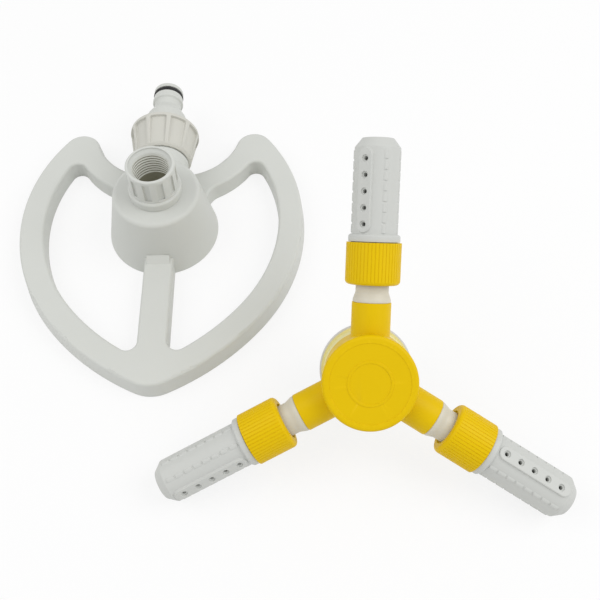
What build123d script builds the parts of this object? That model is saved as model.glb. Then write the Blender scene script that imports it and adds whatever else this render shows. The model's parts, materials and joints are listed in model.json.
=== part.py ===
"""Three-arm rotary lawn sprinkler: a heart-shaped base with a threaded riser and a hose connector,
and the spinning head unscrewed from the riser and laid on the ground beside it.

Millimetres. The origin is on the ground under the riser, +Z is up and +Y points to the hose.
"""

import os
from math import cos, degrees, radians, sin, sqrt

from build123d import *

os.makedirs("parts", exist_ok=True)

# Clearances
fit_gap = 0.05          # between a spigot and its socket, and round a running shaft
turn_gap = 0.3          # round pieces that turn or screw by hand
seat_gap = 0.1          # between flat faces that slide on each other

# Pipe thread G 1/2 of the riser and the spindle
thread_pitch = 1.814
thread_major_r = 20.955 / 2
thread_minor_r = 18.631 / 2
thread_root = 0.35      # width of a groove at its bottom
thread_mouth = 0.85     # width of a groove at its open side
thread_over = 0.12      # how far a groove's cutter stands out of the wall

# Ground plan of the heart-shaped foot, right half, at ground level
heart_half_width = 77.0
widest_y = 0.0
flank = (54.2, -63.5)
tip_half = 8.0
tip_y = -99.2
lobe_outer = (58.2, 56.8)
lobe_inner = (38.6, 53.5)
notch_y = 31.6          # rear edge of the foot at its middle

# Foot section
ring_width = 14.0
ring_height = 11.0
ring_draft = 6.0        # slope of the outer wall, degrees
ring_edge = 1.6         # rounding of the upper edges
spoke_width = 15.0
spoke_ramp = 3.0        # rise of the spoke where it meets the hub
window_corner = 5.0
arm_corner = 11.0       # where an arm meets the hub
wall = 2.4
roof = 2.6

# Hub of the foot
hub_base_r = 29.5
hub_top_r = 22.4
hub_height = 34.0
hub_edge = 2.6
hub_wall = 2.6
hub_roof = 3.0
web = 2.4               # thickness of the crossed webs under the hub
well_r = 10.0           # upright waterway under the riser
well_wall = 5.0
well_floor_z = 11.0
well_floor = 3.0

# Inlet at the back of the hub
inlet_z = 21.9
inlet_r = 5.5
inlet_wall = 3.5
pad_r = 14.0
pad_y = 28.4
pad_depth = 13.9
spigot_r = 13.2
spigot_length = 12.1

# Riser
riser_r = 12.4
riser_top = 54.9
riser_rim = 2.4         # plain band under the mouth
thread_depth = 17.0
collar_r = 13.7
collar_height = 5.0
collar_edge = 1.2
grip_count = 11
grip_width = 3.3
grip_depth = 1.1
grip_start = -98.0      # direction of the first groove, degrees from +X
riser_tail = 5.2
riser_tail_r = 11.9
mouth_r = 10.9
mouth_step = 0.8        # upright part of the mouth, above its cone
mouth_depth = 2.4
rim_edge = 0.5
seal_height = 1.2
seal_inset = 0.3

# Hose connector
nut_gap = 1.0           # between the hub and the nut
nut_front_r = 15.7
nut_rear_r = 18.8
nut_length = 20.1
nut_rim = 2.2
nut_edge = 0.5
nut_ribs = 10
nut_rib_width = 2.1
front_recess = 0.9      # depth of the panels between the ribs, hub end
rear_recess = 1.7
first_rib = 18.0        # direction of the first rib, degrees
nut_band = 1.6          # bevelled band at the hub end
band_drop = 1.5         # how far the band narrows to the hub
nut_back = 2.7
washer_height = 2.5
washer_bore_r = 7.0
tail_flange = 3.2
tail_r = 11.0
tail_length = 11.6      # straight part behind the nut
cone_length = 6.6
neck_r = 7.3
neck_length = 3.9
ridge_r = 8.55
ridge_length = 2.8
ridge_slope = 0.8       # length of each rounded flank of the ridge
nose_r = 8.2
land_length = 2.3
ring_section_r = 1.35   # O-ring cord radius
ring_proud = 0.2
groove_length = 2.9
nose_length = 3.2
nose_chamfer = 1.2
nipple_bore_r = 4.8

# Spinning head, measured from the level of its arms
arm_count = 3
first_arm = 90.0
cap_r = 20.8
cap_top = 15.2
cap_height = 5.0
cap_edge = 1.6
cap_rim = 1.6
cap_ring_r = 9.4
cap_ring_width = 1.2
cap_relief = 0.2
cap_plug = 3.2
plug_wall = 4.0
seal_cord_r = 0.9
seal_side = 0.1         # room beside a seal in its groove
seal_lip = 0.3          # between the spindle's seal and its thread
hub_r = 19.7
hub_bottom = -9.6
chamber_r = 13.0
stub_r = 8.65
stub_root = 1.0
stub_end = 33.6
stub_bore_r = 5.0
socket_depth = 8.6
neck_tail_r = 6.6

# Lower housing of the head
housing_bottom = -23.2
housing_r = 19.6
housing_wall = 2.4
flange_r = 21.6
flange_height = 2.6
flange_edge = 0.8
boss_r = 13.0
boss_top = -12.8
screw_circle_r = 15.6
screw_r = 1.5
screw_head_r = 2.9
screw_head_height = 2.0
screw_bite = 9.0        # length of the screw in the hub
tip_room = 1.0          # free depth past the end of a screw
slot_length = 3.4
slot_width = 0.9
slot_depth = 1.1
column_r = 3.4

# Spindle
journal_r = 8.0
bush_wall = 2.0
bush_flange_r = 12.0
bush_flange = 0.6
spindle_bore_r = 5.2
spindle_top = -6.5
hexagon = 24.0          # across flats
hexagon_height = 5.4
stub_length = 14.3
pilot_r = 9.2
pilot_length = 1.4
pilot_chamfer = 0.7
clip_r = 11.6
clip_height = 1.2
clip_groove = 1.0
clip_mouth = 6.0
thrust_height = 1.0
thrust_r = 12.2

# Arms, measured along the arm from the head's axis
neck_shoulder_r = 8.35
neck_shoulder = 1.2
neck_waist_r = 7.25
neck_waist = 4.4        # from the stub to the waist
neck_collar_r = 9.7
neck_collar = 2.3
union_start = 41.3
union_length = 18.3
union_r = 12.05
union_edge = 1.9
union_back = 3.0
union_recess = 1.1      # width of the dished ring round the neck
recess_depth = 1.0
knurls = 48
knurl_r = 0.22
nozzle_washer = 1.6
root_r = 9.9
shoulder_r = 11.3
shoulder_length = 3.2
shoulder_edge = 0.7
barrel_r = 10.0
barrel_bore_r = 7.4
nozzle_tip = 104.2
tip_flat_r = 6.9
tip_chamfer = 4.0
tip_wall = 3.0
strip_width = 6.4
strip_top = 10.65
strip_inset = 0.6       # from the shoulder to the strip
strip_edge = 0.4
hole_count = 5
hole_inset = 3.6        # from the strip's start to its first jet
hole_end_inset = 4.6    # from its last jet to its end
hole_r = 0.9
hole_flare_r = 1.5
hole_flare = 0.7
rib_columns = 6
rib_r = 1.6             # rounding of a rib across its width
rib_height = 0.4
dash_count = 8
dash_gap = 0.9
nozzle_aims = (33.0, 38.0, 28.0)

# Place of the head on the ground
head_x = 102.8
head_y = -111.9
head_turn = -3.4
def corners(faces, least=12.0):
    """Vertices where an outline turns sharply, which leaves out tangent joins."""
    sharp = []
    for face in faces:
        for vertex in face.vertices():
            at = Vector(vertex)
            tangents = []
            for edge in face.edges():
                for end in (0, 1):
                    if (edge @ end - at).length < 1e-4:
                        tangents.append((edge % end) * (1 if end == 0 else -1))
            if len(tangents) == 2 and 180 - tangents[0].get_angle(tangents[1]) > least:
                sharp.append(vertex)
    return sharp


def thread_groove(start, length, wall_r, depth_r):
    """Helical thread groove about the local Z axis: from the wall's radius to the depth's radius."""
    with BuildPart() as groove:
        with BuildLine() as path:
            Helix(pitch=thread_pitch, height=length, radius=wall_r, center=(0, 0, start))
        with BuildSketch(Plane(origin=path.line @ 0, x_dir=(1, 0, 0), z_dir=path.line % 0)):
            with BuildLine():
                Polyline(
                    (-thread_over, -thread_mouth / 2),
                    (depth_r - wall_r, -thread_root / 2),
                    (depth_r - wall_r, thread_root / 2),
                    (-thread_over, thread_mouth / 2),
                    close=True,
                )
            make_face()
        sweep(path=path.line, is_frenet=True)
    return groove.part


# Base frame: heart-shaped ring, spoke, arms, hub and inlet in one moulding
with BuildSketch() as heart:
    with BuildLine():
        upper = TangentArc((heart_half_width, widest_y), lobe_outer, tangent=(0, 1))
        lobe = TangentArc(lobe_outer, lobe_inner, tangent=upper % 1)
        TangentArc(lobe_inner, (0, notch_y), tangent=lobe % 1)
        lower = TangentArc((heart_half_width, widest_y), flank, tangent=(0, -1))
        front = TangentArc(flank, (tip_half, tip_y), tangent=lower % 1)
        mirror(about=Plane.YZ)
        TangentArc((tip_half, tip_y), (-tip_half, tip_y), tangent=front % 1)
    make_face()


hub_slope = (hub_base_r - hub_top_r) / hub_height
ring_level_r = hub_base_r - hub_slope * ring_height
ring_root_r = ring_level_r - ring_edge


def window_plan(margin):
    """The two openings of the foot, grown all round by a margin."""
    with BuildSketch() as plan:
        add(heart.sketch)
        offset(amount=margin - ring_width, mode=Mode.REPLACE)
        Rectangle(spoke_width - 2 * margin, 4 * abs(tip_y), mode=Mode.SUBTRACT)
        Circle(ring_root_r - margin, mode=Mode.SUBTRACT)
        beside_hub = [vertex for vertex in corners(plan.faces()) if 0 < vertex.Y < hub_base_r]
        fillet(beside_hub, radius=arm_corner + margin)
        fillet(corners(plan.faces()), radius=window_corner + margin)
    return plan.sketch


windows = window_plan(0)
channel_islands = window_plan(wall)

with BuildSketch() as channel_plan:
    add(heart.sketch)
    offset(amount=-wall, mode=Mode.REPLACE)

with BuildPart() as channel:
    add(channel_plan.sketch)
    extrude(amount=ring_height - roof)
    add(channel_islands)
    extrude(amount=ring_height - roof, mode=Mode.SUBTRACT)

cavity_height = hub_height - hub_roof
seal_z = hub_height - riser_tail - seal_height
spigot_end = pad_y + spigot_length
inlet_axis = Axis((0, 0, inlet_z), (0, 1, 0))
# Plane along the inlet: x towards the hose and y as the radius
inlet_section = Plane(origin=(0, 0, inlet_z), x_dir=(0, 1, 0), z_dir=(1, 0, 0))


def inlet_plane(y):
    """Plane across the inlet, facing the hose."""
    return Plane(origin=(0, y, inlet_z), x_dir=(1, 0, 0), z_dir=(0, 1, 0))


with BuildPart() as hub_solid:
    with BuildSketch(Plane.XZ):
        with BuildLine():
            Polyline((0, 0), (hub_base_r, 0), (hub_top_r, hub_height), (0, hub_height), close=True)
        make_face()
    revolve(axis=Axis.Z)
    fillet(hub_solid.edges().group_by(Axis.Z)[-1], radius=hub_edge)

with BuildPart() as hub_webs:
    with BuildSketch():
        Rectangle(web, 2 * hub_base_r)
        Rectangle(2 * hub_base_r, web)
    extrude(amount=cavity_height)
    add(hub_solid.part, mode=Mode.INTERSECT)

with BuildPart() as nut_pocket:
    with BuildSketch(inlet_plane(pad_y - hub_wall)):
        Circle(nut_rear_r + hub_wall)
    extrude(amount=hub_base_r)
    add(hub_solid.part, mode=Mode.INTERSECT)

with BuildPart() as base_frame:
    add(heart.sketch)
    extrude(amount=ring_height, taper=ring_draft)
    add(windows)
    extrude(amount=ring_height, mode=Mode.SUBTRACT)
    fillet(base_frame.edges().group_by(Axis.Z)[-1].filter_by(GeomType.CIRCLE), radius=ring_edge)
    add(channel.part, mode=Mode.SUBTRACT)
    add(hub_solid.part)
    with BuildSketch(Plane.XZ):
        with BuildLine():
            Polyline(
                (0, 0),
                (hub_base_r - hub_wall, 0),
                (hub_base_r - hub_wall - hub_slope * cavity_height, cavity_height),
                (0, cavity_height),
                close=True,
            )
        make_face()
    revolve(axis=Axis.Z, mode=Mode.SUBTRACT)
    add(hub_webs.part)
    add(nut_pocket.part)
    with BuildSketch(inlet_plane(pad_y)):
        Circle(nut_rear_r)
    extrude(amount=hub_base_r, mode=Mode.SUBTRACT)
    with BuildSketch(Plane.YZ):
        with BuildLine():
            Polyline(
                (-ring_level_r - spoke_ramp, ring_height),
                (-ring_level_r + hub_slope * spoke_ramp, ring_height + spoke_ramp),
                (hub_wall / 2 - ring_level_r, ring_height),
                close=True,
            )
        make_face()
    extrude(amount=spoke_width / 2 - ring_edge, both=True)
    with BuildSketch(Plane.XY.offset(well_floor_z)):
        Circle(well_r + well_wall)
    extrude(amount=cavity_height - well_floor_z)
    with BuildSketch(inlet_plane(0)):
        Circle(inlet_r + inlet_wall)
    extrude(amount=pad_y)
    with BuildSketch(inlet_section):
        with BuildLine():
            Polyline(
                (pad_y - pad_depth, 0),
                (pad_y - pad_depth, hub_height - inlet_z),
                (pad_y, pad_r),
                (pad_y, 0),
                close=True,
            )
        make_face()
    revolve(axis=inlet_axis)
    with BuildSketch(inlet_plane(pad_y)):
        Circle(spigot_r)
    extrude(amount=spigot_length)
    with BuildSketch(Plane.XY.offset(well_floor_z + well_floor)):
        Circle(well_r)
    extrude(amount=hub_height, mode=Mode.SUBTRACT)
    with BuildSketch(Plane.XY.offset(seal_z)):
        Circle(riser_tail_r + fit_gap)
    extrude(amount=hub_height, mode=Mode.SUBTRACT)
    with BuildSketch(inlet_plane(0)):
        Circle(inlet_r)
    extrude(amount=spigot_end, mode=Mode.SUBTRACT)

# Riser
collar_top = hub_height + collar_height
thread_floor = riser_top - thread_depth
grip_bottom = collar_top + collar_edge
grip_top = riser_top - riser_rim
thread_length = thread_depth - mouth_depth - 2 * thread_mouth
riser_groove = thread_groove(thread_floor + thread_mouth, thread_length, thread_minor_r, thread_major_r)

with BuildPart() as riser:
    with BuildSketch(Plane.XZ):
        with BuildLine():
            Polyline(
                (well_r, hub_height - riser_tail),
                (riser_tail_r, hub_height - riser_tail),
                (riser_tail_r, hub_height),
                (collar_r, hub_height),
                (collar_r, collar_top),
                (riser_r, collar_top),
                (riser_r, riser_top - rim_edge),
                (riser_r - rim_edge, riser_top),
                (mouth_r, riser_top),
                (mouth_r, riser_top - mouth_step),
                (thread_minor_r, riser_top - mouth_depth),
                (thread_minor_r, thread_floor),
                (well_r, thread_floor - (well_r - thread_minor_r)),
                close=True,
            )
        make_face()
    revolve(axis=Axis.Z)
    rings = riser.edges().filter_by(GeomType.CIRCLE)
    fillet(rings.group_by(SortBy.RADIUS)[-1].sort_by(Axis.Z)[-1], radius=collar_edge)
    with BuildSketch(Plane.XY.offset(grip_bottom)):
        with PolarLocations(riser_r, grip_count, start_angle=grip_start):
            Rectangle(2 * grip_depth, grip_width)
    extrude(amount=grip_top - grip_bottom, mode=Mode.SUBTRACT)
    add(riser_groove, mode=Mode.SUBTRACT)

with BuildPart() as riser_seal:
    with BuildSketch(Plane.XY.offset(seal_z)):
        Circle(riser_tail_r - seal_inset)
        Circle(well_r, mode=Mode.SUBTRACT)
    extrude(amount=seal_height)

# Hose connector
nut_start = pad_y + nut_gap
nut_end = nut_start + nut_length
nut_cavity_end = nut_end - nut_back
washer_end = spigot_end + washer_height
flange_end = washer_end + tail_flange
cone_start = nut_end + tail_length
neck_start = cone_start + cone_length
ridge_start = neck_start + neck_length
land_start = ridge_start + ridge_length
groove_start = land_start + land_length
nose_start = groove_start + groove_length
nipple_end = nose_start + nose_length
panel_arc = 360 / nut_ribs - degrees(nut_rib_width / nut_front_r)

with BuildPart() as nut_panel:
    with BuildSketch(inlet_section):
        with BuildLine():
            Polyline(
                (nut_start + nut_band, nut_front_r - front_recess),
                (nut_end - nut_rim, nut_rear_r - rear_recess),
                (nut_end - nut_rim, nut_rear_r + rear_recess),
                (nut_start + nut_band, nut_rear_r + rear_recess),
                close=True,
            )
        make_face()
    revolve(axis=inlet_axis, revolution_arc=panel_arc)

with BuildPart() as connector_nut:
    with BuildSketch(inlet_section):
        with BuildLine():
            Polyline(
                (nut_start, spigot_r + turn_gap),
                (nut_start, nut_front_r - band_drop),
                (nut_start + nut_band, nut_front_r),
                (nut_end - nut_rim, nut_rear_r),
                (nut_end, nut_rear_r),
                (nut_end, tail_r + turn_gap),
                (nut_cavity_end, tail_r + turn_gap),
                (nut_cavity_end, spigot_r + turn_gap),
                close=True,
            )
        make_face()
    revolve(axis=inlet_axis)
    chamfer(
        connector_nut.edges().filter_by(GeomType.CIRCLE).group_by(SortBy.RADIUS)[-1].sort_by(Axis.Y)[-1],
        length=nut_edge,
    )
    for index in range(nut_ribs):
        add(nut_panel.part.rotate(inlet_axis, first_rib + index * 360 / nut_ribs), mode=Mode.SUBTRACT)

with BuildPart() as connector_washer:
    with BuildSketch(inlet_plane(spigot_end)):
        Circle(spigot_r - turn_gap)
        Circle(washer_bore_r, mode=Mode.SUBTRACT)
    extrude(amount=washer_height)

with BuildPart() as connector_nipple:
    with BuildSketch(inlet_section):
        with BuildLine():
            Polyline(
                (washer_end, nipple_bore_r),
                (washer_end, spigot_r - turn_gap),
                (flange_end, spigot_r - turn_gap),
                (flange_end, tail_r),
                (cone_start, tail_r),
                (neck_start, neck_r),
                (ridge_start, neck_r),
                (ridge_start + ridge_slope, ridge_r),
                (land_start - ridge_slope, ridge_r),
                (land_start, nose_r),
                (groove_start, nose_r),
                (groove_start, nose_r + ring_proud - 2 * ring_section_r),
                (nose_start, nose_r + ring_proud - 2 * ring_section_r),
                (nose_start, nose_r),
                (nipple_end - nose_chamfer, nose_r),
                (nipple_end, nose_r - nose_chamfer),
                (nipple_end, nipple_bore_r),
                close=True,
            )
        make_face()
    revolve(axis=inlet_axis)

with BuildPart() as nipple_o_ring:
    with BuildSketch(inlet_section):
        with Locations((groove_start + groove_length / 2, nose_r + ring_proud - ring_section_r)):
            Circle(ring_section_r)
    revolve(axis=inlet_axis)

# Head on the ground: it leans until the spindle's end and two nozzles touch the floor
hexagon_top = housing_bottom - bush_flange - seat_gap
stub_top = hexagon_top - hexagon_height
spindle_end = stub_top - stub_length
tip_reach = nozzle_tip - tip_chamfer
nozzle_reach_r = sqrt(strip_top**2 + (strip_width / 2) ** 2)
arm_drop = -sin(radians(first_arm + 360 / arm_count))
lean_low = 0.0
lean_high = 60.0
for step in range(40):
    lean = (lean_low + lean_high) / 2
    tilt = radians(lean)
    on_spindle = -spindle_end * cos(tilt) + pilot_r * sin(tilt)
    on_nozzles = tip_reach * arm_drop * sin(tilt) + nozzle_reach_r * sqrt(1 - (arm_drop * sin(tilt)) ** 2)
    if on_spindle > on_nozzles:
        lean_low = lean
    else:
        lean_high = lean
turn = radians(head_turn)
head_x_dir = Vector(cos(turn), sin(turn), 0)
head_axis_dir = Vector(sin(tilt) * sin(turn), -sin(tilt) * cos(turn), cos(tilt))
head = Plane(origin=(head_x, head_y, on_spindle), x_dir=head_x_dir, z_dir=head_axis_dir)
head_section = Plane(origin=head.origin, x_dir=head.x_dir, z_dir=-head.y_dir)
head_axis = Axis(head.origin, head.z_dir)


def arm_dir(index):
    """Direction of an arm in space."""
    angle = radians(first_arm + index * 360 / arm_count)
    return head.x_dir * cos(angle) + head.y_dir * sin(angle)


def arm_axis(index):
    """Centre line of an arm."""
    return Axis(head.origin, arm_dir(index))


def arm_plane(index, reach):
    """Plane across an arm at a distance from the head's axis."""
    return Plane(origin=head.origin + arm_dir(index) * reach, x_dir=head.z_dir, z_dir=arm_dir(index))


def arm_section(index):
    """Plane along an arm: x runs out along the arm and y along the head's axis."""
    return Plane(origin=head.origin, x_dir=arm_dir(index), z_dir=arm_dir(index).cross(head.z_dir))


def strip_plane(index):
    """Plane through an arm's centre line, facing the nozzle's strip of jets."""
    aim = radians(nozzle_aims[index])
    facing = head.z_dir * cos(aim) + head.z_dir.cross(arm_dir(index)) * sin(aim)
    return Plane(origin=head.origin, x_dir=arm_dir(index), z_dir=facing)


cap_bottom = cap_top - cap_height
plug_r = chamber_r - fit_gap
seal_ring_r = plug_r - seal_cord_r
seal_level = cap_bottom - cap_plug / 2
bush_r = journal_r + bush_wall
thrust_bottom = boss_top + seat_gap
clip_bottom = thrust_bottom + thrust_height
clip_top = clip_bottom + clip_height
thread_top = stub_top - 2 * seal_cord_r - seal_lip
thread_bottom = spindle_end + pilot_length
between_arms = first_arm + 180 / arm_count

with BuildPart() as rotor_hub:
    with BuildSketch(head.offset(hub_bottom)):
        Circle(hub_r)
    extrude(amount=cap_bottom - hub_bottom)
    for index in range(arm_count):
        with BuildSketch(arm_plane(index, 0)):
            Circle(stub_r)
        extrude(amount=stub_end)
    fillet(rotor_hub.edges().filter_by(GeomType.BSPLINE), radius=stub_root)
    with BuildSketch(head.offset(hub_bottom)):
        Circle(chamber_r)
    extrude(amount=cap_bottom - hub_bottom, mode=Mode.SUBTRACT)
    for index in range(arm_count):
        with BuildSketch(arm_plane(index, 0)):
            Circle(stub_bore_r)
        extrude(amount=stub_end, mode=Mode.SUBTRACT)
        with BuildSketch(arm_plane(index, stub_end - socket_depth)):
            Circle(neck_tail_r + fit_gap)
        extrude(amount=socket_depth, mode=Mode.SUBTRACT)
    with BuildSketch(head.offset(hub_bottom)):
        with PolarLocations(screw_circle_r, arm_count, start_angle=between_arms):
            Circle(screw_r + fit_gap)
    extrude(amount=screw_bite + tip_room, mode=Mode.SUBTRACT)

with BuildPart() as hub_cap:
    with BuildSketch(head.offset(cap_bottom)):
        Circle(cap_r)
    extrude(amount=cap_height)
    fillet(hub_cap.edges().filter_by(GeomType.CIRCLE).sort_by(head_axis)[-1], radius=cap_edge)
    with BuildSketch(head.offset(cap_top - cap_relief)):
        Circle(cap_r - cap_edge - cap_rim)
        Circle(cap_ring_r + cap_ring_width / 2, mode=Mode.SUBTRACT)
        Circle(cap_ring_r - cap_ring_width / 2)
    extrude(amount=cap_relief, mode=Mode.SUBTRACT)
    with BuildSketch(head.offset(cap_bottom)):
        Circle(plug_r)
        Circle(plug_r - plug_wall, mode=Mode.SUBTRACT)
    extrude(amount=-cap_plug)
    with BuildSketch(head.offset(seal_level - seal_cord_r - seal_side)):
        Circle(plug_r)
        Circle(plug_r - 2 * seal_cord_r - fit_gap, mode=Mode.SUBTRACT)
    extrude(amount=2 * (seal_cord_r + seal_side), mode=Mode.SUBTRACT)

with BuildPart() as cap_seal:
    with BuildSketch(head_section):
        with Locations((seal_ring_r, seal_level)):
            Circle(seal_cord_r)
    revolve(axis=head_axis)

with BuildPart() as lower_housing:
    with BuildSketch(head_section):
        with BuildLine():
            Polyline(
                (bush_r + fit_gap, housing_bottom),
                (flange_r, housing_bottom),
                (flange_r, housing_bottom + flange_height),
                (housing_r, housing_bottom + flange_height),
                (housing_r, hub_bottom),
                (housing_r - housing_wall, hub_bottom),
                (housing_r - housing_wall, housing_bottom + housing_wall),
                (boss_r, housing_bottom + housing_wall),
                (boss_r, boss_top),
                (bush_r + fit_gap, boss_top),
                close=True,
            )
        make_face()
    revolve(axis=head_axis)
    flange_rim = lower_housing.edges().filter_by(GeomType.CIRCLE).group_by(SortBy.RADIUS)[-1]
    fillet(flange_rim, radius=flange_edge)
    with BuildSketch(head.offset(housing_bottom)):
        with PolarLocations(screw_circle_r, arm_count, start_angle=between_arms):
            Circle(column_r)
        Circle(boss_r, mode=Mode.SUBTRACT)
    extrude(amount=hub_bottom - housing_bottom)
    with BuildSketch(head.offset(housing_bottom)):
        with PolarLocations(screw_circle_r, arm_count, start_angle=between_arms):
            Circle(screw_r + fit_gap)
    extrude(amount=hub_bottom - housing_bottom, mode=Mode.SUBTRACT)
    with BuildSketch(head.offset(housing_bottom)):
        with PolarLocations(screw_circle_r, arm_count, start_angle=between_arms):
            Circle(screw_head_r + turn_gap)
    extrude(amount=screw_head_height, mode=Mode.SUBTRACT)

with BuildPart() as housing_screws:
    with BuildSketch(head.offset(housing_bottom)):
        with PolarLocations(screw_circle_r, arm_count, start_angle=between_arms):
            Circle(screw_head_r)
    extrude(amount=screw_head_height)
    with BuildSketch(head.offset(housing_bottom)):
        with PolarLocations(screw_circle_r, arm_count, start_angle=between_arms):
            Circle(screw_r)
    extrude(amount=hub_bottom - housing_bottom + screw_bite)
    with BuildSketch(head.offset(housing_bottom)):
        with PolarLocations(screw_circle_r, arm_count, start_angle=between_arms):
            Rectangle(slot_length, slot_width)
            Rectangle(slot_width, slot_length)
    extrude(amount=slot_depth, mode=Mode.SUBTRACT)

with BuildPart() as spindle_bush:
    with BuildSketch(head_section):
        with BuildLine():
            Polyline(
                (journal_r + fit_gap, housing_bottom - bush_flange),
                (bush_flange_r, housing_bottom - bush_flange),
                (bush_flange_r, housing_bottom),
                (bush_r, housing_bottom),
                (bush_r, boss_top),
                (journal_r + fit_gap, boss_top),
                close=True,
            )
        make_face()
    revolve(axis=head_axis)

# The spindle's thread is cut as rings of the same pitch, so each crest is a plain round land
stub_turns = int((thread_top - thread_bottom) / thread_pitch)

with BuildPart() as spindle:
    with BuildSketch(head.offset(hexagon_top)):
        RegularPolygon(hexagon / 2, 6, major_radius=False)
    extrude(amount=-hexagon_height)
    with BuildSketch(head_section):
        with BuildLine():
            Polyline(
                (0, spindle_end),
                (pilot_r - pilot_chamfer, spindle_end),
                (pilot_r, spindle_end + pilot_chamfer),
                (pilot_r, thread_bottom),
                (thread_major_r, thread_bottom),
                (thread_major_r, thread_top),
                (pilot_r, thread_top),
                (pilot_r, stub_top),
                (pilot_r, hexagon_top),
                (journal_r, hexagon_top),
                (journal_r, clip_bottom),
                (journal_r - clip_groove, clip_bottom),
                (journal_r - clip_groove, clip_top),
                (journal_r, clip_top),
                (journal_r, spindle_top),
                (0, spindle_top),
                close=True,
            )
        make_face()
    revolve(axis=head_axis)
    with BuildSketch(head.offset(spindle_end)):
        Circle(spindle_bore_r)
    extrude(amount=spindle_top - spindle_end, mode=Mode.SUBTRACT)
    with BuildSketch(head_section):
        for turn in range(stub_turns):
            groove_z = thread_bottom + (turn + 0.5) * thread_pitch
            with BuildLine():
                Polyline(
                    (thread_major_r + thread_over, groove_z - thread_mouth / 2),
                    (thread_minor_r, groove_z - thread_root / 2),
                    (thread_minor_r, groove_z + thread_root / 2),
                    (thread_major_r + thread_over, groove_z + thread_mouth / 2),
                    close=True,
                )
            make_face()
    revolve(axis=head_axis, mode=Mode.SUBTRACT)

with BuildPart() as thrust_washer:
    with BuildSketch(head.offset(thrust_bottom)):
        Circle(thrust_r)
        Circle(journal_r + fit_gap, mode=Mode.SUBTRACT)
    extrude(amount=thrust_height)

with BuildPart() as retaining_ring:
    with BuildSketch(head.offset(clip_bottom)):
        Circle(clip_r)
        Circle(journal_r - clip_groove + fit_gap, mode=Mode.SUBTRACT)
        with Locations((0, -clip_r)):
            Rectangle(clip_mouth, 2 * clip_r, mode=Mode.SUBTRACT)
    extrude(amount=clip_height)

with BuildPart() as spindle_o_ring:
    with BuildSketch(head_section):
        with Locations((pilot_r + fit_gap + seal_cord_r, stub_top - seal_cord_r)):
            Circle(seal_cord_r)
    revolve(axis=head_axis)


# Arms
waist_x = stub_end + neck_waist
collar_x = union_start + union_back + turn_gap
washer_x = collar_x + neck_collar
root_x = washer_x + nozzle_washer
union_end = union_start + union_length
shoulder_x = union_end + turn_gap
barrel_x = shoulder_x + shoulder_length
barrel_end = nozzle_tip - tip_chamfer
union_bore_r = root_r + turn_gap
strip_start = barrel_x + strip_inset
strip_end = barrel_end - strip_inset
first_hole = strip_start + hole_inset
hole_pitch = (strip_end - hole_end_inset - first_hole) / (hole_count - 1)
dash_pitch = (strip_end - strip_start) / dash_count
dash_length = dash_pitch - dash_gap
rib_spacing = 360 / (rib_columns + 1)


def arm_neck(index):
    """Waisted tube from the hub's stub to the collar trapped in the union nut."""
    with BuildPart() as piece:
        with BuildSketch(arm_section(index)):
            with BuildLine():
                Polyline(
                    (stub_end - socket_depth + turn_gap, stub_bore_r),
                    (stub_end - socket_depth + turn_gap, neck_tail_r),
                    (stub_end, neck_tail_r),
                    (stub_end, neck_shoulder_r),
                    (stub_end + neck_shoulder, neck_shoulder_r),
                    (waist_x, neck_waist_r),
                    (collar_x, neck_waist_r),
                    (collar_x, neck_collar_r),
                    (washer_x, neck_collar_r),
                    (washer_x, stub_bore_r),
                    close=True,
                )
            make_face()
        revolve(axis=arm_axis(index))
    return piece.part


def union_washer(index):
    """Flat seal between the neck's collar and the nozzle."""
    with BuildPart() as piece:
        with BuildSketch(arm_plane(index, washer_x)):
            Circle(neck_collar_r)
            Circle(stub_bore_r, mode=Mode.SUBTRACT)
        extrude(amount=nozzle_washer)
    return piece.part


def union_nut(index):
    """Knurled nut with a rounded back that holds the nozzle on the neck."""
    with BuildPart() as piece:
        with BuildSketch(arm_plane(index, union_start)):
            Circle(union_r)
            with PolarLocations(union_r, knurls):
                Circle(knurl_r, mode=Mode.SUBTRACT)
        extrude(amount=union_length)
        with BuildSketch(arm_section(index)):
            with BuildLine():
                start = (union_start, union_r - union_edge)
                end = (union_start + union_edge, union_r)
                Polyline(end, (union_end, union_r), (union_end, 0), (union_start, 0), start)
                TangentArc(start, end, tangent=(0, 1))
            make_face()
        revolve(axis=arm_axis(index), mode=Mode.INTERSECT)
        with BuildSketch(arm_plane(index, union_start)):
            Circle(neck_waist_r + union_recess)
        extrude(amount=recess_depth, mode=Mode.SUBTRACT)
        with BuildSketch(arm_plane(index, union_start)):
            Circle(neck_waist_r + turn_gap)
        extrude(amount=union_length, mode=Mode.SUBTRACT)
        with BuildSketch(arm_plane(index, union_start + union_back)):
            Circle(union_bore_r)
        extrude(amount=union_length, mode=Mode.SUBTRACT)
    return piece.part


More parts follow.
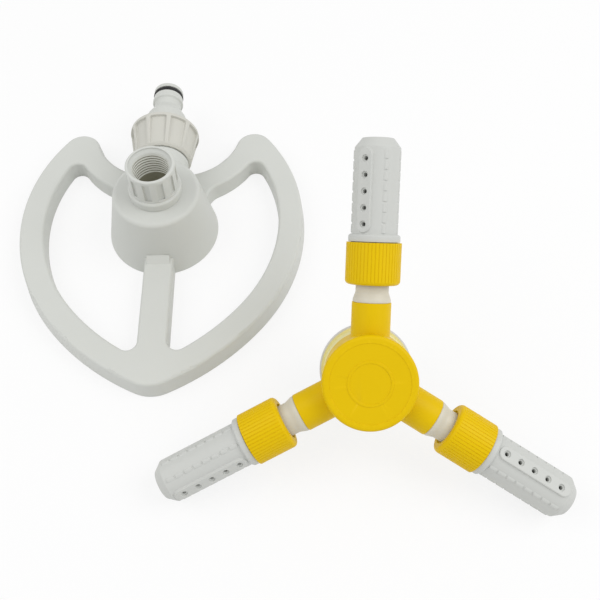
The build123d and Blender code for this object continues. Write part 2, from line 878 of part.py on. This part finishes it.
def nozzle(index):
    """Spray nozzle: a closed tube with a strip of jets and columns of short ribs."""
    strip = strip_plane(index)
    with BuildPart() as piece:
        with BuildSketch(arm_section(index)):
            with BuildLine():
                Polyline(
                    (root_x, 0),
                    (root_x, root_r),
                    (shoulder_x, root_r),
                    (shoulder_x, shoulder_r),
                    (barrel_x - shoulder_edge, shoulder_r),
                    (barrel_x, shoulder_r - shoulder_edge),
                    (barrel_x, barrel_r),
                    (barrel_end, barrel_r),
                    (nozzle_tip, tip_flat_r),
                    (nozzle_tip, 0),
                    close=True,
                )
            make_face()
        revolve(axis=arm_axis(index))
        with BuildSketch(strip):
            with Locations(((strip_start + strip_end) / 2, 0)):
                SlotOverall(strip_end - strip_start, strip_width)
        extrude(amount=strip_top)
        strip_face = piece.faces().filter_by(GeomType.PLANE).sort_by(Axis(head.origin, strip.z_dir))[-1]
        fillet(strip_face.edges(), radius=strip_edge)
        for dash in range(dash_count):
            with BuildSketch(arm_plane(index, strip_start + dash * dash_pitch)):
                with PolarLocations(
                    barrel_r + rib_height - rib_r,
                    rib_columns,
                    start_angle=rib_spacing - nozzle_aims[index],
                    angular_range=rib_columns * rib_spacing,
                ):
                    Circle(rib_r)
            extrude(amount=dash_length)
        with BuildSketch(arm_plane(index, root_x)):
            Circle(barrel_bore_r)
        extrude(amount=nozzle_tip - tip_wall - root_x, mode=Mode.SUBTRACT)
        with BuildSketch(strip):
            with Locations((first_hole, 0)):
                with GridLocations(hole_pitch, hole_pitch, hole_count, 1, align=(Align.MIN, Align.CENTER)):
                    Circle(hole_r)
        extrude(amount=strip_top, mode=Mode.SUBTRACT)
        with BuildSketch(strip.offset(strip_top - hole_flare)):
            with Locations((first_hole, 0)):
                with GridLocations(hole_pitch, hole_pitch, hole_count, 1, align=(Align.MIN, Align.CENTER)):
                    Circle(hole_flare_r)
        extrude(amount=hole_flare, mode=Mode.SUBTRACT)
    return piece.part


base_frame.part.label = "base_frame"
export_step(base_frame.part, "parts/base_frame.step")
riser.part.label = "riser"
export_step(riser.part, "parts/riser.step")
riser_seal.part.label = "riser_seal"
export_step(riser_seal.part, "parts/riser_seal.step")
connector_nut.part.label = "connector_nut"
export_step(connector_nut.part, "parts/connector_nut.step")
connector_washer.part.label = "connector_washer"
export_step(connector_washer.part, "parts/connector_washer.step")
connector_nipple.part.label = "connector_nipple"
export_step(connector_nipple.part, "parts/connector_nipple.step")
nipple_o_ring.part.label = "nipple_o_ring"
export_step(nipple_o_ring.part, "parts/nipple_o_ring.step")
rotor_hub.part.label = "rotor_hub"
export_step(rotor_hub.part, "parts/rotor_hub.step")
hub_cap.part.label = "hub_cap"
export_step(hub_cap.part, "parts/hub_cap.step")
cap_seal.part.label = "cap_seal"
export_step(cap_seal.part, "parts/cap_seal.step")
lower_housing.part.label = "lower_housing"
export_step(lower_housing.part, "parts/lower_housing.step")
housing_screws.part.label = "housing_screws"
export_step(housing_screws.part, "parts/housing_screws.step")
spindle_bush.part.label = "spindle_bush"
export_step(spindle_bush.part, "parts/spindle_bush.step")
spindle.part.label = "spindle"
export_step(spindle.part, "parts/spindle.step")
thrust_washer.part.label = "thrust_washer"
export_step(thrust_washer.part, "parts/thrust_washer.step")
retaining_ring.part.label = "retaining_ring"
export_step(retaining_ring.part, "parts/retaining_ring.step")
spindle_o_ring.part.label = "spindle_o_ring"
export_step(spindle_o_ring.part, "parts/spindle_o_ring.step")

for arm_index in range(arm_count):
    for make in (arm_neck, union_washer, union_nut, nozzle):
        piece = make(arm_index)
        piece.label = f"{make.__name__}_{arm_index + 1}"
        export_step(piece, f"parts/{piece.label}.step")
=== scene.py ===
# %% [markdown]
# A rotary lawn sprinkler, taken apart: the heart-shaped foot stands on the floor and the
# three-armed head lies beside it. The shapes come from the CAD frame, so this lesson is about
# what Blender adds: soft moulded edges, plastics, rubber, light and the camera.

# %% Load the frame
import json
from math import radians

import bmesh
import bpy
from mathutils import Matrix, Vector


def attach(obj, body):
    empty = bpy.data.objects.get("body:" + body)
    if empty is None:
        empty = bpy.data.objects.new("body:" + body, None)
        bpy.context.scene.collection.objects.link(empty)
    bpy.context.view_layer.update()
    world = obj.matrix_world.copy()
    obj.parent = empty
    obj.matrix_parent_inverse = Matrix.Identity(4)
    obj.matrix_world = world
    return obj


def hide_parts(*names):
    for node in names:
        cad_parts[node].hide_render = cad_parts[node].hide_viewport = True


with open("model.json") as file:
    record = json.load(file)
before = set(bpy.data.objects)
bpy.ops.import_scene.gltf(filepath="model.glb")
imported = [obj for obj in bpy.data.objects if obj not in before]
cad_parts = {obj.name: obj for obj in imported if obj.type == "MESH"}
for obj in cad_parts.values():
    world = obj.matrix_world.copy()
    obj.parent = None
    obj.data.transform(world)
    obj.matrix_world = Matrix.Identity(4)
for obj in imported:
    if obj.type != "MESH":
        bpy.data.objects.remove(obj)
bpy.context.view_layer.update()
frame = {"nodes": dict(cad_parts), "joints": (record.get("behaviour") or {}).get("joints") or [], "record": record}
nodes = frame["nodes"]

# %% [markdown]
# The camera comes first, because every later choice is judged through it. It looks down at the
# two groups from in front of the foot's tip, steep enough to see into the riser's thread. The
# place, the pitch and the focal length were worked out from where known points of the foot and
# the head fall in the picture.

# %% Camera
CAMERA_PLACE = (0.06979, -0.27167, 0.37050)
CAMERA_PITCH = 58.726
CAMERA_TURN = -1.008
LENS = 49.68

lens = bpy.data.cameras.new("camera")
lens.lens = LENS
lens.sensor_width = 36.0
lens.clip_start = 0.01
camera = bpy.data.objects.new("camera", lens)
camera.location = CAMERA_PLACE
camera.rotation_euler = (radians(90 - CAMERA_PITCH), 0, radians(CAMERA_TURN))
bpy.context.scene.collection.objects.link(camera)
bpy.context.scene.camera = camera
bpy.context.scene.view_settings.view_transform = "Standard"
print("camera at", CAMERA_PLACE, "lens", LENS)

# %% [markdown]
# A material is a graph of nodes, and its sums are easier to read as Python. Wire wraps one
# socket and answers to + - * ** < and >, each of which adds a Math node; a comparison gives 1
# where it holds and 0 elsewhere. Finish starts a material and has one method that adds any other
# node: its settings first, then its sockets.


# %% Shader helpers
class Wire:
    """One socket of a material that takes part in sums."""

    def __init__(self, finish, socket):
        self.finish = finish
        self.socket = socket

    def sum(self, operation, first, second):
        return self.finish.add("ShaderNodeMath", {"operation": operation}, {0: first, 1: second})

    def __add__(self, other):
        return self.sum("ADD", self, other)

    def __radd__(self, other):
        return self.sum("ADD", other, self)

    def __sub__(self, other):
        return self.sum("SUBTRACT", self, other)

    def __rsub__(self, other):
        return self.sum("SUBTRACT", other, self)

    def __mul__(self, other):
        return self.sum("MULTIPLY", self, other)

    def __rmul__(self, other):
        return self.sum("MULTIPLY", other, self)

    def __pow__(self, other):
        return self.sum("POWER", self, other)

    def __rpow__(self, other):
        return self.sum("POWER", other, self)

    def __lt__(self, other):
        return self.sum("LESS_THAN", self, other)

    def __gt__(self, other):
        return self.sum("GREATER_THAN", self, other)


class Finish:
    """A new material with its principled shader, and one way to add nodes to it."""

    def __init__(self, name, **fixed):
        self.material = bpy.data.materials.new(name + "_finish")
        self.material.use_nodes = True
        self.tree = self.material.node_tree
        self.shader = self.tree.nodes["Principled BSDF"]
        for socket, value in fixed.items():
            self.shader.inputs[socket.replace("_", " ").title()].default_value = value
        self.place = self.add("ShaderNodeTexCoord", out="Object")

    def add(self, kind, settings=None, sockets=None, out=0):
        node = self.tree.nodes.new(kind)
        for key, value in (settings or {}).items():
            setattr(node, key, value)
        for key, value in (sockets or {}).items():
            if isinstance(value, Wire):
                self.tree.links.new(value.socket, node.inputs[key])
            else:
                node.inputs[key].default_value = value
        return Wire(self, node.outputs[out])

    def noise(self, size, detail=2.0, roughness=0.5):
        """Soft noise whose blobs are about the given size, in metres."""
        sockets = {"Vector": self.place, "Scale": 1 / size, "Detail": detail, "Roughness": roughness}
        return self.add("ShaderNodeTexNoise", None, sockets)

    def mix(self, factor, first, second):
        return self.add("ShaderNodeMix", {"data_type": "RGBA"}, {0: factor, 6: first, 7: second}, out=2)

    def axes(self):
        """The three coordinates of the surface point, in metres."""
        split = self.add("ShaderNodeSeparateXYZ", None, {0: self.place}).socket.node
        return [Wire(self, split.outputs[axis]) for axis in "XYZ"]

    def along(self, origin, axis):
        """Distance of the surface point along an axis, from the axis's origin."""
        offset = self.add(
            "ShaderNodeVectorMath", {"operation": "SUBTRACT"}, {0: self.place, 1: origin}
        )
        return self.add(
            "ShaderNodeVectorMath", {"operation": "DOT_PRODUCT"}, {0: offset, 1: axis}, out="Value"
        )

    def send(self, socket, wire):
        self.tree.links.new(wire.socket, self.shader.inputs[socket])

    def bump(self, height, depth):
        """Feeds a height field to the shader's normal; depth is in metres."""
        self.send(
            "Normal",
            self.add("ShaderNodeBump", None, {"Strength": 1.0, "Distance": depth, "Height": height}),
        )


print("shader helpers ready")

# %% [markdown]
# The plastics. All the mouldings are polypropylene or ABS with a slightly different surface: the
# foot is a matt, finely etched pale grey, the connector's nut is cream, the nozzles are a slightly
# darker grey, the necks a warm white whose yellow tint is partly a painted reflection of the yellow
# hub, and the hub and union nuts a smooth golden yellow. The seals are black rubber. One recipe
# makes them all: a broad, weak cloud in the colour, a finer one in the roughness, and a fine
# etched grain in the bump.

# %% Plastics
CLOUD_SIZE = 0.03
WAVE_SIZE = 0.012
WAVE_HEIGHT = 2.0
GLOSS_SIZE = 0.008
GLOSS_DRIFT = 0.1


def moulded(name, colour, tint, rough, grain, depth, shine=0.35):
    """A moulded plastic that drifts from a colour to a tint; later cells can paint over its shade."""
    finish = Finish(name)
    finish.shader.inputs["Specular IOR Level"].default_value = shine
    fine = finish.noise(grain, detail=3.0, roughness=0.6)
    finish.shade = finish.mix(finish.noise(CLOUD_SIZE, detail=3.0), (*colour, 1), (*tint, 1))
    finish.send("Base Color", finish.shade)
    drift = GLOSS_DRIFT * finish.noise(GLOSS_SIZE, detail=4.0)
    finish.send("Roughness", rough - GLOSS_DRIFT / 2 + drift)
    finish.bump(fine + WAVE_HEIGHT * finish.noise(WAVE_SIZE), depth)
    return finish


foot = moulded(
    "foot", (0.595, 0.607, 0.575), (0.62, 0.632, 0.60), rough=0.5, grain=0.0006, depth=0.00003
)
cream = moulded(
    "connector", (0.575, 0.57, 0.52), (0.605, 0.60, 0.55), rough=0.45, grain=0.0006, depth=0.00002
)
nozzle = moulded(
    "nozzle", (0.555, 0.565, 0.54), (0.58, 0.59, 0.565), rough=0.48, grain=0.0005, depth=0.000025
)
# the necks' warm white is partly their own and partly a painted reflection of the yellow hub
neck = moulded(
    "neck", (0.615, 0.585, 0.49), (0.645, 0.615, 0.52), rough=0.42, grain=0.0005, depth=0.00002
)
cup = moulded(
    "cup", (0.62, 0.617, 0.60), (0.65, 0.647, 0.63), rough=0.42, grain=0.0005, depth=0.00002
)
yellow = moulded(
    "hub", (0.73, 0.485, 0.0), (0.76, 0.515, 0.0), rough=0.42, grain=0.0008, depth=0.00002, shine=0.12
)
seal = moulded(
    "seal", (0.012, 0.012, 0.012), (0.02, 0.02, 0.02), rough=0.5, grain=0.0004, depth=0.00001
)
finishes = {
    "base_white": foot.material,
    "connector_cream": cream.material,
    "nozzle_grey": nozzle.material,
    "neck_white": neck.material,
    "hub_yellow": yellow.material,
    "seal_black": seal.material,
}
print("plastics:", [material.name for material in finishes.values()])

# %% [markdown]
# Painted shade and painted light in the riser. The roots of the thread and the waterway under it
# are painted a darker olive, a painted shade that stands for the shadow deep in the bore, while the
# crests of the thread keep the foot's own colour. The bore also gets painted light, a weak glow that
# is brighter on the crests, so that it isn't black. Both could be painted by hand, but a rule is
# shorter: the crests stand at one radius from the riser's axis, which the frame's mount gives, and
# everything in the bore that is wider or deeper than they are gets the painted shade.

# %% Painted shade and painted light in the riser
# painted shade: this olive darkens the thread roots and the well below, where the bore is in shadow
PAINTED_BORE_SHADE = (0.17, 0.162, 0.122, 1)
# painted light: the bore's weak glow, dimmer in the roots and the well, brighter on the crests
PAINTED_ROOT_GLOW = (0.047, 0.045, 0.031, 1)
PAINTED_CREST_GLOW = (0.15, 0.15, 0.138, 1)
DARK = (0, 0, 0, 1)
BORE_RADIUS = 0.0107
WELL_FLOOR = 0.0139
CREST_MARGIN = 0.0001
PATCH_SIZE = 0.003
PATCH_SHARE = 0.25

riser = next(mount for mount in frame["record"]["mounts"] if mount["name"] == "riser_socket")
half_length = riser["dims"]["length_mm"] / 2000
thread_top = riser["pos_m"][2] + half_length
thread_floor = riser["pos_m"][2] - half_length
crest_radius = riser["dims"]["r_mm"] / 1000 + CREST_MARGIN

x, y, z = foot.axes()
radius = (x * x + y * y) ** 0.5
in_bore = (radius < BORE_RADIUS) * (z < thread_top) * (z > WELL_FLOOR)
off_crest = 1 - (radius < crest_radius) * (z > thread_floor)
patchy = 1 - PATCH_SHARE + PATCH_SHARE * foot.noise(PATCH_SIZE, detail=4.0)
# painted shade over the thread roots and the well, broken into soft patches
foot.send("Base Color", foot.mix(in_bore * off_crest * patchy, foot.shade, PAINTED_BORE_SHADE))
# painted light: the bore emits a little light of its own, more on the crests
foot.send("Emission Color", foot.mix(in_bore, DARK, foot.mix(off_crest, PAINTED_CREST_GLOW, PAINTED_ROOT_GLOW)))
foot.shader.inputs["Emission Strength"].default_value = 1.0
print("thread from", round(thread_floor, 4), "to", round(thread_top, 4))

# %% [markdown]
# The cup under the hub is a milky plastic. Above its flange it carries a painted reflection: the
# yellow light that the hub throws onto it is painted into its colour, and the flange stays white.
# The head lies on its side, so the level that parts the two is measured along the head's own axis,
# which the frame's joint gives.

# %% Painted yellow reflection on the cup
FLANGE_TOP = -0.0206
PAINTED_YELLOW_REFLECTION = (0.88, 0.8, 0.31, 1)
PAINTED_REFLECTION_SHARE = 0.8

spin = next(joint for joint in frame["joints"] if joint["name"] == "spindle_spin")
height = cup.along(spin["pos_m"], spin["axis"])
# painted reflection: the cup above its flange is tinted with the hub's yellow
cup.send("Base Color", cup.mix(PAINTED_REFLECTION_SHARE * (height > FLANGE_TOP), cup.shade, PAINTED_YELLOW_REFLECTION))
print("head axis", spin["axis"])

# %% [markdown]
# The screws and the retaining ring are zinc-plated steel: a metal whose roughness and tone
# change a little where the plating has dulled. A painted map would do as well, but noise on the
# object's own coordinates needs no unwrapping.

# %% Metal
PLATED = (0.52, 0.52, 0.53, 1)
DULLED = (0.64, 0.63, 0.61, 1)
PLATED_ROUGH = 0.24
DULLED_ROUGH = 0.44
DULL_SIZE = 0.004
GRAIN_SIZE = 0.0005

steel = Finish("screw", metallic=1.0)
dull = steel.noise(DULL_SIZE, detail=4.0)
steel.send("Base Color", steel.mix(dull, PLATED, DULLED))
steel.send("Roughness", PLATED_ROUGH + (DULLED_ROUGH - PLATED_ROUGH) * dull)
steel.bump(steel.noise(GRAIN_SIZE), depth=0.000008)
finishes["screw_steel"] = steel.material
print("metal:", steel.material.name)

# %% [markdown]
# Each CAD node gets the finish that the record's material slot names. Only the cup differs from
# the other white pieces.

# %% Finishes on the CAD nodes
slots = {part["node"]: part["material_slot"] for part in frame["record"]["subparts"]}
finish_of = {name: finishes[slot] for name, slot in slots.items()}
finish_of["lower_housing"] = cup.material
for name, node in nodes.items():
    node.data.materials.clear()
    node.data.materials.append(finish_of[name])
print("finished nodes:", len(finish_of))

# %% [markdown]
# No moulding has a knife edge: the steel of the mould and the shrinking plastic leave every corner
# a little round, and that is where the light catches. The CAD solids have the large roundings, so
# a copy of each visible one gets the small ones here: its loose triangles are merged and every edge
# that is still sharp is bevelled. One bevel over a whole piece is held back everywhere by its
# shortest edge, so each run of touching edges is bevelled by itself. The copy then stands for the
# node.

# %% Soft edges
MERGE = 2e-6
SHARPEST = 28.0
CREASE = 36.0


def edge_runs(edges):
    """Splits edges into runs that touch each other."""
    waiting = {edge.index: edge for edge in edges}
    runs = []
    while waiting:
        run = [waiting.popitem()[1]]
        for edge in run:
            for vert in edge.verts:
                run += [waiting.pop(near.index) for near in vert.link_edges if near.index in waiting]
        runs.append(run)
    return runs


def soft_copy(name, body, radius):
    """A copy of a CAD node with its sharp edges rounded; radius in metres."""
    shell = bmesh.new()
    shell.from_mesh(nodes[name].data)
    bmesh.ops.remove_doubles(shell, verts=shell.verts, dist=MERGE)
    shell.edges.index_update()
    corners = [e for e in shell.edges if e.is_manifold and e.calc_face_angle() > radians(SHARPEST)]
    for run in edge_runs(corners):
        bmesh.ops.bevel(
            shell, geom=run, offset=radius, offset_type="OFFSET", segments=2, profile=0.5,
            affect="EDGES", clamp_overlap=True, material=-1,
        )
    data = bpy.data.meshes.new(name + "_moulding")
    shell.to_mesh(data)
    shell.free()
    data.polygons.foreach_set("use_smooth", [True] * len(data.polygons))
    data.set_sharp_from_angle(angle=radians(CREASE))
    data.materials.append(finish_of[name])
    piece = bpy.data.objects.new(name + "_moulding", data)
    bpy.context.scene.collection.objects.link(piece)
    piece.modifiers.new("even_normals", "WEIGHTED_NORMAL").keep_sharp = True
    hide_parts(name)
    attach(piece, body)
    return piece


print("edges sharper than", SHARPEST, "degrees are rounded")

# %% [markdown]
# How round a corner is depends on the moulding. The foot and the connector's nut are thick and have
# the softest corners, while threads, knurls and ribs stay crisp. Each copy rides on the body that
# the record gives its node, so it moves with the same joint.

# %% Soft copies
bodies = frame["record"]["behaviour"]["bodies"]
body_of = {name: body for body, names in bodies.items() for name in names}
ROUNDINGS = {
    "base_frame": 0.0004,
    "riser": 0.0002,
    "connector_nut": 0.0004,
    "connector_nipple": 0.0003,
    "rotor_hub": 0.0003,
    "hub_cap": 0.0003,
    "lower_housing": 0.0003,
    "spindle": 0.0002,
    "arm_neck": 0.0003,
    "union_nut": 0.0002,
    "nozzle": 0.0002,
}
for name in nodes:
    kind = name.rstrip("_123")
    if kind in ROUNDINGS:
        piece = soft_copy(name, body_of[name], ROUNDINGS[kind])
        print(piece.name, len(piece.data.polygons), "faces")

# %% [markdown]
# The floor is a plain pale sheet. Its material gives the camera most of its white directly and
# keeps a share of the light that falls on it, so that a soft shadow still shows.

# %% Floor
FLOOR_SIZE = 3.0
FLOOR_DROP = 0.0002
WHITE_SHARE = 0.8

floor_mesh = bmesh.new()
bmesh.ops.create_grid(floor_mesh, x_segments=1, y_segments=1, size=FLOOR_SIZE)
bmesh.ops.translate(floor_mesh, verts=floor_mesh.verts, vec=(0, 0, -FLOOR_DROP))
floor_data = bpy.data.meshes.new("floor")
floor_mesh.to_mesh(floor_data)
floor_mesh.free()
floor = bpy.data.objects.new("floor", floor_data)
bpy.context.scene.collection.objects.link(floor)
paper = Finish("floor", base_color=(0.86, 0.86, 0.86, 1), roughness=0.9)
seen = paper.add("ShaderNodeLightPath", out="Is Camera Ray")
for ray in ("Is Glossy Ray", "Is Transmission Ray"):
    other = paper.add("ShaderNodeLightPath", out=ray)
    seen = paper.add("ShaderNodeMath", {"operation": "MAXIMUM"}, {0: seen, 1: other})
glow = paper.add("ShaderNodeEmission", None, {"Color": (1, 1, 1, 1), "Strength": 1.0})
lit = Wire(paper, paper.shader.outputs[0])
blend = paper.add("ShaderNodeMixShader", None, {0: seen * WHITE_SHARE, 1: lit, 2: glow})
paper.tree.links.new(blend.socket, paper.tree.nodes["Material Output"].inputs["Surface"])
floor_data.materials.append(paper.material)
print("floor", FLOOR_DROP, "m below the object")

# %% [markdown]
# A small studio lights the sprinkler: an even white surround, and two large soft windows to the
# left and right, of which the right one is nearly twice as strong. Their size keeps the shadows
# soft, and the difference between them gives the round pieces a lighter and a darker side.

# %% Light
LAMP_SIZE = 0.9
SURROUND = 0.68
MIDDLE = (0.06, -0.06, 0.03)


def soft_box(name, place, power):
    """A square area lamp that looks at the middle of the scene."""
    lamp = bpy.data.lights.new(name, "AREA")
    lamp.size = LAMP_SIZE
    lamp.energy = power
    lamp_object = bpy.data.objects.new(name, lamp)
    lamp_object.location = place
    aim = Vector(MIDDLE) - Vector(place)
    lamp_object.rotation_euler = aim.to_track_quat("-Z", "Y").to_euler()
    bpy.context.scene.collection.objects.link(lamp_object)


soft_box("left_window", (-0.75, -0.1, 0.95), power=3.9)
soft_box("right_window", (0.95, -0.1, 1.0), power=6.9)
world = bpy.data.worlds.new("studio")
world.use_nodes = True
world.node_tree.nodes["Background"].inputs["Color"].default_value = (1, 1, 1, 1)
world.node_tree.nodes["Background"].inputs["Strength"].default_value = SURROUND
bpy.context.scene.world = world
